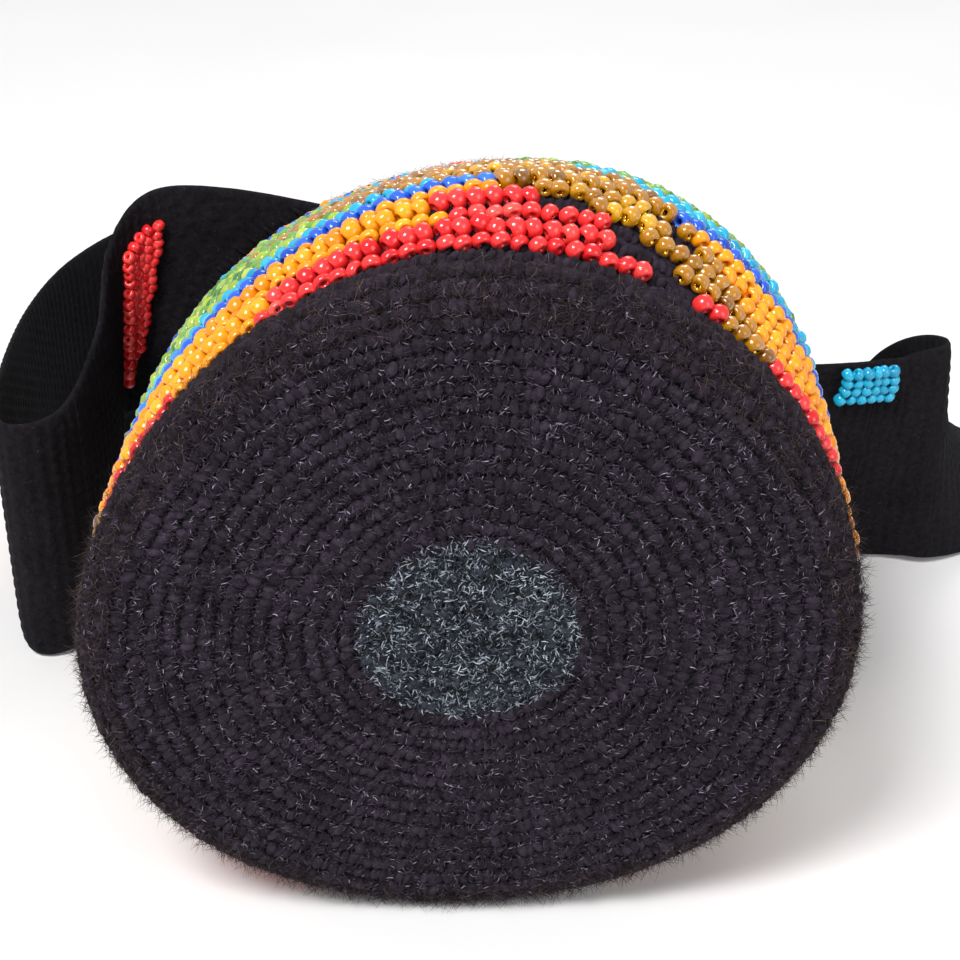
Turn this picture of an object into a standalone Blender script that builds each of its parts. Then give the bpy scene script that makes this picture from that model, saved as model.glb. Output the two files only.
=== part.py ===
"""Crocheted shoulder bag with a beaded wall, lying on its side on a flat surface.

The bag's axis runs along +Y, its round crocheted base faces -Y and its mouth +Y.
Z is up, the resting surface is z = 0. All sizes are in metres.
"""
import bpy
import bmesh
from math import cos, pi, radians, sin, sqrt, tau
from mathutils import Vector

# Driving dimensions
STITCH = 0.004                    # one crochet stitch, one bead and one round
BASE_R = 0.090                    # radius of the crocheted base
GREY_ROUNDS = 6                   # rounds of grey wool in the middle of the base
WOOL = 0.004                      # thickness of the crocheted wool
BEAD_DEPTH = 0.0032               # how deep the bead skin is
GAP = 0.0003                      # clearance between touching pieces
PANEL_GAP = 0.0014                # clearance between neighbouring bead skins
FILLET = 0.008                    # depth of the rounded edge of the base
ROWS = 46                         # rounds of the wall
BEAD_ROWS = 30                    # rounds that carry beads
DEPTH = FILLET + ROWS * STITCH    # from the base to the mouth

REST_CUT = 0.001                  # the round section is cut flat where it rests
BASE_HEIGHT = 0.172               # section height at the base
BASE_MIDDLE = 0.0865              # height of the middle of the base
SQUASH_2 = 0.022                  # the base is a little out of round: two lobes
SQUASH_3 = 0.028                  # and three lobes, both gone at SQUASH_END
SQUASH_END = 0.10
BELLY = 0.013                     # how far the wall bulges past the base
BELLY_END = 0.034
SAG_START = 0.045                 # where the wall starts to sink to the mouth
SAG_BLEND = 0.012
SAG_SLOPE = 0.31
LEAN = 0.0138                     # how far the slumped top moves to +X
MIDDLE_LEAN = 0.0018              # and the rest of the section to -X

SECTORS = 3                       # the pattern repeats three times round the wall
GOLD_TURN = 15                    # row where the gold diagonal turns back
GOLD_START = radians(44.9)        # middle of the first diagonal at row 0
GOLD_STEP = radians(4.36)         # how far it moves round in one row
GOLD_RIGHT = radians(8.5)         # from its middle line to its right side
GOLD_LEFT = radians(-3.7)         # from the middle line to its left side at row 0,
GOLD_WIDEN = radians(3.6)         # how much that grows in one row
GOLD_WIDEST = radians(26.0)       # and the most that it reaches

STRAP_WIDTH = 0.082
STRAP_THICK = 0.004
STRAP_CENTRE = 0.0418             # height of the middle of a strap standing on edge
BAR_DEPTH = 0.0022
SEAM_RADIUS = 0.0009

# Bead bands: name, first row, last row, colour
BANDS = (("red", 1, 2), ("orange", 3, 5), ("blue", 6, 7), ("green", 8, 10))
FIELD = (11, 20)
# Rows where the skins have an edge loop: every place where two bands meet, and between
STATIONS = (1, 2, 3, 4, 5, 6, 7, 8, 9.5, 11, 13, 15, 17, 19, 21, 22.5, 24, 25, 26, 27, 28, 29, 30, 31)
AROUND = 48                       # facets round the bag

# Colours are linear RGB
COLOURS = {
    "wool": (0.016, 0.012, 0.017), "wool_grey": (0.035, 0.038, 0.050),
    "strap_wool": (0.006, 0.005, 0.006), "thread": (0.010, 0.008, 0.010),
    "red": (0.85, 0.020, 0.030), "orange": (0.84, 0.25, 0.006),
    "blue": (0.030, 0.11, 0.45), "green": (0.09, 0.30, 0.03),
    "gold": (0.55, 0.24, 0.015), "turquoise": (0.002, 0.38, 0.60),
    "lime": (0.30, 0.45, 0.05),
}

# Middle line of the strap: x, y, height of the middle, lean of the top to +X, and the
# roll in degrees of the top towards the bag, 0 on edge and 90 flat. It leaves the mouth
# on the left, turns round in front, passes behind the bag, where it lies down, and comes
# back to the mouth on the right.
STRAP_ROUTE = (
    (-0.0590, 0.1850, 0.0900, 0.48, 0), (-0.0900, 0.1850, 0.0950, 0.36, 0),
    (-0.1085, 0.1830, 0.0930, 0.20, 0), (-0.1145, 0.1715, 0.0800, 0.06, 0),
    (-0.1150, 0.1530, 0.0600, 0.02, 0), (-0.1210, 0.1300, 0.0450, 0, 0),
    (-0.1310, 0.1200, STRAP_CENTRE, 0, 0), (-0.1420, 0.1259, STRAP_CENTRE, 0, 0),
    (-0.1490, 0.1650, STRAP_CENTRE, 0, 0), (-0.1510, 0.2150, STRAP_CENTRE, 0, 0),
    (-0.1450, 0.2580, STRAP_CENTRE, 0, 0), (-0.1270, 0.2950, STRAP_CENTRE, 0, 0),
    (-0.1000, 0.3250, 0.0415, 0, 12), (-0.0550, 0.3380, 0.0340, 0, 40),
    (0.0050, 0.3320, 0.0182, 0, 68), (0.0700, 0.3160, 0.0064, 0, 85),
    (0.1220, 0.2900, 0.0064, 0, 86), (0.1580, 0.2580, 0.0134, 0, 76),
    (0.1720, 0.2180, 0.0302, 0, 50), (0.1590, 0.1780, 0.0428, 0, 4),
    (0.1410, 0.1741, STRAP_CENTRE, 0, -8), (0.1290, 0.1721, STRAP_CENTRE, 0.06, -9),
    (0.1150, 0.1705, STRAP_CENTRE, 0.16, -9), (0.0720, 0.1690, STRAP_CENTRE, 0.30, -9),
)
LEFT_ELBOW = 6                    # route points where the strap turns
RIGHT_ELBOW = 20
# Route positions where the strap's ends meet the curve of the bag, lower edge to upper
LEFT_CUT = (0.56, 0.82, 0.86, 0.67, 0.25)
RIGHT_CUT = (22.98, 22.96, 22.68, 22.62, 22.68)
ELBOW_GAP = 0.0014                # clearance where the span meets a leg

# Beaded bars on the strap: name, colour, route position, half width along
# the strap, lowest and highest edge as a share of the strap's width
BARS = (
    ("bar_red_left", "red", 2.25, 0.0100, 0.30, 0.87),
    ("bar_turquoise_right", "turquoise", 21.42, 0.0120, 0.83, 0.985),
    ("bar_orange_span", "orange", 8.4, 0.0100, 0.15, 0.86),
    ("bar_red_span", "red", 9.4, 0.0100, 0.15, 0.86),
    ("bar_lime_span", "lime", 10.5, 0.0100, 0.15, 0.86),
    ("bar_blue_span", "blue", 12.7, 0.0100, 0.15, 0.86),
    ("bar_gold_span", "gold", 14.0, 0.0100, 0.15, 0.86),
    ("bar_turquoise_span", "turquoise", 15.3, 0.0100, 0.15, 0.86),
)


def clear_scene():
    for item in list(bpy.data.objects):
        bpy.data.objects.remove(item, do_unlink=True)


def smooth(value):
    value = min(max(value, 0.0), 1.0)
    return value * value * (3 - 2 * value)


def material(name):
    made = bpy.data.materials.new(name)
    made.use_nodes = True
    shader = made.node_tree.nodes["Principled BSDF"]
    shader.inputs["Base Color"].default_value = (*COLOURS[name], 1.0)
    glassy = name not in ("wool", "wool_grey", "strap_wool", "thread")
    shader.inputs["Roughness"].default_value = 0.25 if glassy else 0.9
    shader.inputs["Metallic"].default_value = 0.0
    made.diffuse_color = (*COLOURS[name], 1.0)
    return made


def belly_rise(y):
    return BELLY * smooth(y / BELLY_END)


def section_height(y):
    """Height of the bag's section at depth y: a belly, then a slump to the mouth."""
    past = (y - SAG_START) / SAG_BLEND
    sink = max(past, 0.0) if abs(past) > 1 else (past + 1) ** 2 / 4
    return BASE_HEIGHT + belly_rise(y) - SAG_SLOPE * SAG_BLEND * sink


def bag_point(angle, y, inset=0.0):
    """Point on the bag, angle 0 at the top and positive to +X, inset inwards."""
    half = section_height(y) / 2
    wide = sqrt(2 * BASE_R ** 2 - (BASE_HEIGHT / 2 + belly_rise(y) / 4) ** 2)
    up = cos(angle)
    lower = half + (2 * REST_CUT if up < 0 else 0.0)
    lobes = SQUASH_2 * sin(2 * angle) + SQUASH_3 * cos(3 * angle)
    swell = 1 + lobes * (1 - smooth(y / SQUASH_END))
    lean = LEAN * ((1 + up) / 2) ** 3 - MIDDLE_LEAN
    x = (wide * swell - inset) * sin(angle) + lean * smooth(y / SAG_START)
    z = half + (lower * swell - inset) * up
    return Vector((x, y, max(z, inset)))


def grid_shell(name, columns, rows, place, thickness, colour, wrap=False, offset=-1.0):
    """A grid laid on a surface by place(u, v), u and v from 0 to 1, made solid."""
    mesh = bpy.data.meshes.new(name)
    form = bmesh.new()
    bmesh.ops.create_grid(form, x_segments=columns, y_segments=rows, size=1.0)
    for vert in form.verts:
        vert.co = place((vert.co.x + 1) / 2, (vert.co.y + 1) / 2)
    if wrap:
        bmesh.ops.remove_doubles(form, verts=form.verts, dist=0.00001)
    form.to_mesh(mesh)
    form.free()
    item = bpy.data.objects.new(name, mesh)
    PARTS.objects.link(item)
    mesh.materials.append(COLOUR_MATERIALS[colour])
    solid = item.modifiers.new("thickness", "SOLIDIFY")
    solid.thickness = thickness
    solid.offset = offset
    return item


def make_base():
    """The flat crocheted base: a grey middle and the dark rounds with a round edge."""
    middle = Vector((0, 0, BASE_MIDDLE))
    grey = GREY_ROUNDS * STITCH
    bpy.ops.mesh.primitive_cylinder_add(
        vertices=48, radius=grey - GAP, depth=WOOL, rotation=(pi / 2, 0, 0),
        location=(0, WOOL / 2, BASE_MIDDLE))
    disc = bpy.context.object
    disc.name = "base_centre"
    disc.data.materials.append(COLOUR_MATERIALS["wool_grey"])
    for group in disc.users_collection:
        group.objects.unlink(disc)
    PARTS.objects.link(disc)

    edge_steps = 3
    flat_steps = 2
    steps = flat_steps + edge_steps + 1

    def place(u, v):
        angle = tau * u
        step = round(v * steps)
        start = middle + Vector((grey * sin(angle), 0, grey * cos(angle)))
        brim = bag_point(angle, 0.0, FILLET)
        if step <= flat_steps:
            return start.lerp(brim, step / flat_steps)
        if step == steps:
            return bag_point(angle, FILLET + STITCH)
        turn = (step - flat_steps) / edge_steps * pi / 2
        depth = FILLET * (1 - cos(turn))
        return bag_point(angle, depth, FILLET * (1 - sin(turn)))

    grid_shell("base_rounds", AROUND, steps, place, BEAD_DEPTH, "wool", wrap=True)


def make_wall():
    """The wool wall behind the beads in two rings, the bare wool at the mouth, its rim."""
    bead_end = FILLET + (BEAD_ROWS + 1) * STITCH
    behind_beads = BEAD_DEPTH + 6 * GAP
    lower_rows = [FILLET + row * STITCH for row in STATIONS if row <= GOLD_TURN]
    upper_rows = [FILLET + row * STITCH for row in STATIONS if row >= GOLD_TURN]
    for rows in (lower_rows, upper_rows):
        rows[0] += GAP
        rows[-1] -= GAP
    collar_end = DEPTH - STITCH
    collar_start = bead_end + PANEL_GAP
    collar_step = (collar_end - GAP - collar_start) / 3
    collar_rows = [collar_start + collar_step * step for step in range(4)]
    stretches = (
        ("wall_lower", lower_rows, behind_beads, "wool"),
        ("wall_upper", upper_rows, behind_beads, "wool"),
        ("mouth_collar", collar_rows, 0.0, "wool"),
        ("mouth_rim", [collar_end, DEPTH], 0.0, "strap_wool"),
    )
    for name, depths, inset, colour in stretches:
        steps = len(depths) - 1

        def place(u, v, depths=depths, steps=steps, inset=inset):
            return bag_point(tau * u, depths[round(v * steps)], inset)

        grid_shell(name, AROUND, steps, place, WOOL, colour, wrap=True)


def gold_angle(row, sector):
    """Middle of a gold diagonal at a row: it leans one way and then turns back."""
    reach = GOLD_TURN - abs(row - GOLD_TURN)
    return GOLD_START - GOLD_STEP * reach + tau * sector / SECTORS


def gold_left(row, sector):
    reach = GOLD_TURN - abs(row - GOLD_TURN)
    return gold_angle(row, sector) - min(GOLD_LEFT + GOLD_WIDEN * reach, GOLD_WIDEST)


def gold_right(row, sector):
    return gold_angle(row, sector) + GOLD_RIGHT


def bead_panel(name, colour, rows, left, right):
    """A skin of beads between two slanting sides, each given by a function of row."""
    edges = [row for row in STATIONS if rows[0] <= row <= rows[1] + 1]
    middle = (edges[0] + edges[-1]) / 2
    across = max(3, round((right(middle) - left(middle)) * AROUND / tau))
    steps = len(edges) - 1

    def place(u, v):
        row = edges[round(v * steps)]
        if row == edges[0]:
            row += PANEL_GAP / STITCH
        angle = left(row) + (right(row) - left(row)) * u
        return bag_point(angle, FILLET + row * STITCH)

    grid_shell(name, across, steps, place, BEAD_DEPTH, colour)


def make_beads():
    """Gold diagonals, and colour bands between them that mirror about the field."""
    clear = PANEL_GAP / BASE_R
    slant_clear = 2.2 * clear         # the left side of the gold slants the most
    for sector in range(SECTORS):
        tag = "abc"[sector]
        for half, span in (("lower", (1, GOLD_TURN - 1)), ("upper", (GOLD_TURN, BEAD_ROWS))):
            bead_panel(
                "gold_diagonal_%s_%s" % (half, tag), "gold", span,
                lambda row, s=sector: gold_left(row, s),
                lambda row, s=sector: gold_right(row, s))

        def left(row, s=sector):
            return gold_right(row, s) + clear

        def right(row, s=sector):
            return gold_left(row, s + 1) - slant_clear

        for colour, first, last in BANDS:
            bead_panel("%s_band_lower_%s" % (colour, tag), colour, (first, last), left, right)
            mirrored = (BEAD_ROWS + 1 - last, BEAD_ROWS + 1 - first)
            bead_panel("%s_band_upper_%s" % (colour, tag), colour, mirrored, left, right)
        lower = (FIELD[0], GOLD_TURN - 1)
        bead_panel("field_lower_%s" % tag, "turquoise", lower, left, right)
        bead_panel("field_upper_%s" % tag, "lime", (GOLD_TURN, FIELD[1]), left, right)


def route_value(position):
    """Catmull-Rom value of the strap's route: x, y, middle height, lean, roll."""
    last = len(STRAP_ROUTE) - 1
    index = min(int(position), last - 1)
    share = position - index
    p0 = STRAP_ROUTE[max(index - 1, 0)]
    p1 = STRAP_ROUTE[index]
    p2 = STRAP_ROUTE[index + 1]
    p3 = STRAP_ROUTE[min(index + 2, last)]
    values = []
    for a, b, c, d in zip(p0, p1, p2, p3):
        curve = (2 * a - 5 * b + 4 * c - d) * share ** 2 + (3 * b - a - 3 * c + d) * share ** 3
        values.append(0.5 * (2 * b + (c - a) * share + curve))
    return values


def strap_point(position, across, lift=0.0):
    """Point on the strap: across from -1 at the lower edge to 1, lift outwards."""
    x, y, middle, lean, roll = route_value(position)
    step = 0.02
    last = len(STRAP_ROUTE) - 1
    ahead = route_value(min(position + step, last))
    behind = route_value(max(position - step, 0.0))
    along = Vector((ahead[0] - behind[0], ahead[1] - behind[1], 0)).normalized()
    out = Vector((-along.y, along.x, 0))
    roll = radians(roll)
    rise = Vector((lean, 0, 1)).normalized()
    up = rise * cos(roll) - out * sin(roll)
    out = out * cos(roll) + rise * sin(roll)
    return Vector((x, y, middle)) + up * across * STRAP_WIDTH / 2 + out * lift


def hinge_axis():
    """Axis of the strap's lift: through the middles of its two elbows."""
    left = strap_point(LEFT_ELBOW, 0)
    right = strap_point(RIGHT_ELBOW, 0)
    return left, (right - left).normalized()


def cut_end(cuts):
    """Route position of an end of the strap as a function of the place across it."""
    def position(across):
        place = min(max((across + 1) * 2, 0.0), 4.0)
        index = min(int(place), 3)
        return cuts[index] + (cuts[index + 1] - cuts[index]) * (place - index)
    return position


def elbow(position):
    return lambda across: position


def strap_piece(name, start, end, steps, cuts):
    """A stretch of strap, its cut ends square to the axis that it turns about."""
    origin, axis = hinge_axis()
    half = STRAP_THICK / 2

    def place(u, v):
        across = 2 * v - 1
        position = start(across) + (end(across) - start(across)) * u
        point = strap_point(position, across, half)
        for share, middle, side in cuts:
            if round(u * steps) == share * steps:
                target = (middle - origin).dot(axis) + side * ELBOW_GAP / 2
                point += axis * (target - (point - origin).dot(axis))
        return point

    return grid_shell(name, steps, 4, place, STRAP_THICK, "strap_wool", offset=1.0)


def make_strap():
    """The strap in three stretches: two short legs sewn to the bag and the free span."""
    left = strap_point(LEFT_ELBOW, 0)
    right = strap_point(RIGHT_ELBOW, 0)
    at_left = elbow(LEFT_ELBOW)
    left_start = cut_end(LEFT_CUT)
    right_end = cut_end(RIGHT_CUT)
    at_right = elbow(RIGHT_ELBOW)
    strap_piece("strap_leg_left", left_start, at_left, 16, [(1, left, 1)])
    strap_piece("strap_leg_right", at_right, right_end, 8, [(0, right, -1)])
    strap_piece("strap_span", at_left, at_right, 52, [(0, left, -1), (1, right, 1)])
    for name, colour, position, half_width, low, high in BARS:
        ahead = strap_point(position + 0.1, 0)
        speed = (ahead - strap_point(position - 0.1, 0)).length / 0.2
        reach = half_width / speed

        def place(u, v, position=position, reach=reach, low=low, high=high):
            across = 2 * (low + (high - low) * v) - 1
            lift = STRAP_THICK / 2 + 2 * GAP + BAR_DEPTH
            return strap_point(position + reach * (2 * u - 1), across, lift)

        grid_shell(name, 4, 3, place, BAR_DEPTH, colour, offset=1.0)


def seam_tube(name, ends, inward):
    """Whip-stitch thread that runs down the corner between a strap end and the bag."""
    curve = bpy.data.curves.new(name, "CURVE")
    curve.dimensions = "3D"
    curve.bevel_depth = SEAM_RADIUS
    curve.bevel_resolution = 2
    curve.use_fill_caps = True
    line = curve.splines.new("POLY")
    side = STRAP_THICK / 2 + SEAM_RADIUS + GAP
    shares = [1.35 * step / 8 - 0.85 for step in range(9)]
    points = [strap_point(ends(across) + inward, across, side) for across in shares]
    line.points.add(len(points) - 1)
    for knot, place in zip(line.points, points):
        knot.co = (*place, 1.0)
    item = bpy.data.objects.new(name, curve)
    curve.materials.append(COLOUR_MATERIALS["thread"])
    PARTS.objects.link(item)


def put_span_on_axis():
    """Move the span's origin, and the origins of its bars, to the hinge's axis."""
    place = hinge_axis()[0]
    names = ["strap_span"] + [bar[0] for bar in BARS if bar[0].endswith("_span")]
    for name in names:
        item = bpy.data.objects[name]
        for vert in item.data.vertices:
            vert.co -= place
        item.location = place


def centre_frame():
    """Put the origin on the resting surface, at the middle of the whole outline."""
    bpy.context.view_layer.update()
    depsgraph = bpy.context.evaluated_depsgraph_get()
    corners = []
    for item in PARTS.objects:
        solid = item.evaluated_get(depsgraph)
        corners += [item.location + item.matrix_world.to_3x3() @ vert.co
                    for vert in solid.to_mesh().vertices]
        solid.to_mesh_clear()
    shift = Vector((0, 0, 0))
    for axis in (0, 1):
        values = [corner[axis] for corner in corners]
        shift[axis] = -(min(values) + max(values)) / 2
    for item in PARTS.objects:
        item.location += shift


clear_scene()
PARTS = bpy.data.collections.new("beaded_crochet_bag")
bpy.context.scene.collection.children.link(PARTS)
COLOUR_MATERIALS = {name: material(name) for name in COLOURS}
make_base()
make_wall()
make_beads()
make_strap()
seam_tube("seam_left", cut_end(LEFT_CUT), 0.12)
seam_tube("seam_right", cut_end(RIGHT_CUT), -0.08)
put_span_on_axis()
centre_frame()
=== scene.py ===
"""Looks of the beaded crochet bag: stitches, beads, fibres, strap, floor, light and camera."""
from math import atan2, cos, pi, radians, sin, tau

import bpy
import numpy as np
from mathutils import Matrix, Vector


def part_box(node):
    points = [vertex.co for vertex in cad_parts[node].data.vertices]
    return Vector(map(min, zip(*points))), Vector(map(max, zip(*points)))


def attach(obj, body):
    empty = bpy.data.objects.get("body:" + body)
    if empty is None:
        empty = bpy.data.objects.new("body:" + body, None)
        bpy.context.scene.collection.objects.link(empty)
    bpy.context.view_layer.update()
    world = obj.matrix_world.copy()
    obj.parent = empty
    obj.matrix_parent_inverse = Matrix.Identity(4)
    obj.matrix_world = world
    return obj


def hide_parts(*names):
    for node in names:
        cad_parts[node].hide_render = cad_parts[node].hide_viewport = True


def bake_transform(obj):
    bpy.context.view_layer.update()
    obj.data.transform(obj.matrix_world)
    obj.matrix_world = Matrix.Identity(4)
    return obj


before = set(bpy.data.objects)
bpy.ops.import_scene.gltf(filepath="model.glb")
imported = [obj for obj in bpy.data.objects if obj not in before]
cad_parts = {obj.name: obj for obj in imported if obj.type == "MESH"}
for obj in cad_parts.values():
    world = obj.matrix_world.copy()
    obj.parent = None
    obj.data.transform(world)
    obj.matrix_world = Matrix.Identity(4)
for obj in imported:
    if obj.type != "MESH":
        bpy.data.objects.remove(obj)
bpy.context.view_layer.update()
random = np.random.RandomState(7)

# Shape of the bag, the same as the CAD model's
STITCH = 0.004                         # one stitch, one bead and one round
COLUMNS = 144                          # stitches in a round of the wall
BASE_R = 0.090                         # radius of the base
FILLET = 0.008                         # depth of the base's rounded edge
ROWS = 46                              # rounds of the wall
BEAD_ROWS = 30                         # rounds that carry beads
GREY_R = 0.024                         # radius of the grey middle
REST_CUT = 0.001                       # the round section is cut flat where it rests
BASE_HEIGHT = 0.172
SQUASH_2, SQUASH_3, SQUASH_END = 0.022, 0.028, 0.10      # lobes of the base, gone at the end
BELLY, BELLY_END = 0.013, 0.034        # how far the wall bulges past the base, and by where
SAG_START, SAG_BLEND, SAG_SLOPE = 0.045, 0.012, 0.31     # how the wall sinks to the mouth
LEAN, MIDDLE_LEAN = 0.0138, 0.0018     # the slumped top to +X, the rest of the section to -X

# The gold diagonals, in rows and degrees: middle line, then its sides
GOLD_TURN, GOLD_START, GOLD_STEP = 15, 44.9, 4.36
GOLD_RIGHT, GOLD_LEFT, GOLD_WIDEN, GOLD_WIDEST = 8.5, -3.7, 3.6, 26.0
SECTOR = 120.0                         # the pattern repeats after these degrees
# Degrees of bare wool on the left of the gold beads, by rows from an edge of the beadwork
BARE_GAP = (0.0, 14.0, 11.0, 5.0, 9.0, 6.0, 0.0)

BEAD_RADIUS = 0.00240                  # on the wall
BAR_BEAD_RADIUS = 0.00215              # on the strap's bars
BAR_COLUMN, BAR_ROW = 0.0038, 0.0032   # a bar's beads, along and across the strap

STRAP_WIDTH, STRAP_THICK, STRAP_CENTRE = 0.082, 0.004, 0.0418
KNOTS_ACROSS = 20                      # columns of knots on a face of the strap
# Points of the strap's middle line: x, y, height, lean of its width, roll in degrees
STRAP_ROUTE = np.array((
    (-0.0590, 0.1850, 0.0900, 0.48, 0), (-0.0900, 0.1850, 0.0950, 0.36, 0),
    (-0.1085, 0.1830, 0.0930, 0.20, 0), (-0.1145, 0.1715, 0.0800, 0.06, 0),
    (-0.1150, 0.1530, 0.0600, 0.02, 0), (-0.1210, 0.1300, 0.0450, 0, 0),
    (-0.1310, 0.1200, STRAP_CENTRE, 0, 0), (-0.1420, 0.1259, STRAP_CENTRE, 0, 0),
    (-0.1490, 0.1650, STRAP_CENTRE, 0, 0), (-0.1510, 0.2150, STRAP_CENTRE, 0, 0),
    (-0.1450, 0.2580, STRAP_CENTRE, 0, 0), (-0.1270, 0.2950, STRAP_CENTRE, 0, 0),
    (-0.1000, 0.3250, 0.0415, 0, 12), (-0.0550, 0.3380, 0.0340, 0, 40),
    (0.0050, 0.3320, 0.0182, 0, 68), (0.0700, 0.3160, 0.0064, 0, 85),
    (0.1220, 0.2900, 0.0064, 0, 86), (0.1580, 0.2580, 0.0134, 0, 76),
    (0.1720, 0.2180, 0.0302, 0, 50), (0.1590, 0.1780, 0.0428, 0, 4),
    (0.1410, 0.1741, STRAP_CENTRE, 0, -8), (0.1290, 0.1721, STRAP_CENTRE, 0.06, -9),
    (0.1150, 0.1705, STRAP_CENTRE, 0.16, -9), (0.0720, 0.1690, STRAP_CENTRE, 0.30, -9),
))
# Places along the strap are given as route positions: 1.5 is halfway from point 1 to point 2
STRAP_END = 22.98
# Where each end meets the curve of the bag, at five places from the lower edge to the upper
LEFT_CUT = (0.56, 0.82, 0.86, 0.67, 0.25)
RIGHT_CUT = (22.98, 22.96, 22.68, 22.62, 22.68)
LEFT_TUCK, RIGHT_TUCK = 0.10, 0.06     # how far an end runs on under its seam
# Where the strap twists as it is lifted, on either side of an elbow
LEFT_TWIST = (4.9, 7.7)
RIGHT_TWIST = (19.1, 20.9)

LOWEST, STRAP_LOWEST = 0.0001, 0.0003  # nothing goes nearer to the floor

# The CAD frame's origin is in the middle of the outline: the base tells where the bag is
base_low, base_high = (np.array(corner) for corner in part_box("base_centre"))
SHIFT = np.array(((base_low[0] + base_high[0]) / 2, base_low[1], 0.0))
BASE_MIDDLE = (base_low[2] + base_high[2]) / 2


# ---------------------------------------------------------------- surfaces

def smooth(value):
    """An even step from 0 to 1."""
    value = np.clip(value, 0.0, 1.0)
    return value * value * (3 - 2 * value)


def bag_surface(angle, depth, inset=0.0):
    """Points on the bag: angle 0 at the top and positive to +X, depth from the base."""
    past = (depth - SAG_START) / SAG_BLEND
    sink = np.where(np.abs(past) > 1, np.maximum(past, 0.0), (past + 1) ** 2 / 4)
    belly = BELLY * smooth(depth / BELLY_END)
    half = (BASE_HEIGHT + belly - SAG_SLOPE * SAG_BLEND * sink) / 2
    wide = np.sqrt(2 * BASE_R ** 2 - (BASE_HEIGHT / 2 + belly / 4) ** 2)
    up = np.cos(angle)
    lower = half + np.where(up < 0, 2 * REST_CUT, 0.0)
    lobes = SQUASH_2 * np.sin(2 * angle) + SQUASH_3 * np.cos(3 * angle)
    swell = 1 + lobes * (1 - smooth(depth / SQUASH_END))
    x = (wide * swell - inset) * np.sin(angle)
    x = x + (LEAN * ((1 + up) / 2) ** 3 - MIDDLE_LEAN) * smooth(depth / SAG_START)
    z = np.maximum(half + (lower * swell - inset) * up, inset)
    return np.stack([x, depth + 0 * x, z], axis=-1) + SHIFT


FLAT = BASE_R - FILLET
BASE_RUN = FLAT + FILLET * pi / 2       # from the middle, over the edge, to the wall


def base_surface(angle, run, inset=0.0):
    """Points on the base: run is the way along the surface from its middle."""
    turn = np.clip((run - FLAT) / FILLET, 0.0, pi / 2)
    brim = bag_surface(angle, FILLET * (1 - np.cos(turn)), FILLET * (1 - np.sin(turn)))
    middle = np.array((0.0, 0.0, BASE_MIDDLE)) + SHIFT
    share = np.clip(run / FLAT, 0.0, 1.0)[..., None]
    point = middle + (brim - middle) * share
    return point + np.stack([0 * run, 0 * run + inset, 0 * run], axis=-1)


def surface_frame(surface, angle, run):
    """Unit vectors at surface points: around, along and outward."""
    small = 0.0004
    turn = small / np.maximum(run if surface is base_surface else BASE_R, 0.002)
    around = surface(angle + turn, run) - surface(angle - turn, run)
    along = surface(angle, run + small) - surface(angle, run - small)
    around /= np.linalg.norm(around, axis=-1, keepdims=True) + 1e-12
    along /= np.linalg.norm(along, axis=-1, keepdims=True) + 1e-12
    outward = np.cross(around, along)
    outward /= np.linalg.norm(outward, axis=-1, keepdims=True) + 1e-12
    return around, along, outward


def route_value(position):
    """Catmull-Rom value of the strap's route, for an array of positions."""
    last = len(STRAP_ROUTE) - 1
    index = np.clip(position.astype(int), 0, last - 1)
    share = (position - index)[:, None]
    a = STRAP_ROUTE[np.maximum(index - 1, 0)]
    b = STRAP_ROUTE[index]
    c = STRAP_ROUTE[index + 1]
    d = STRAP_ROUTE[np.minimum(index + 2, last)]
    curve = (2 * a - 5 * b + 4 * c - d) * share ** 2 + (3 * b - a - 3 * c + d) * share ** 3
    return 0.5 * (2 * b + (c - a) * share + curve)


def strap_surface(position, across, lift=0.0):
    """Points on the strap, and unit vectors along, up and out of its outer face."""
    shape = position.shape
    last = len(STRAP_ROUTE) - 1
    position = np.clip(position.ravel(), 0.0, last - 0.001)
    across = (across + np.zeros(shape)).ravel()
    lift = (lift + np.zeros(shape)).ravel()
    here = route_value(position)
    ahead = route_value(np.minimum(position + 0.02, last))
    behind = route_value(np.maximum(position - 0.02, 0.0))
    along = (ahead - behind)[:, :3] * (1, 1, 0)
    along /= np.linalg.norm(along, axis=1, keepdims=True)
    out = np.stack([-along[:, 1], along[:, 0], 0 * lift], axis=1)
    rise = np.stack([here[:, 3], 0 * lift, 1 + 0 * lift], axis=1)
    rise /= np.linalg.norm(rise, axis=1, keepdims=True)
    roll = np.radians(here[:, 4])[:, None]
    up = rise * np.cos(roll) - out * np.sin(roll)
    out = out * np.cos(roll) + rise * np.sin(roll)
    point = here[:, :3] + up * (across * STRAP_WIDTH / 2)[:, None] + out * lift[:, None]
    return tuple(v.reshape(*shape, 3) for v in (point + SHIFT, along, up, out))


# ------------------------------------------------------------- mesh making

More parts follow.
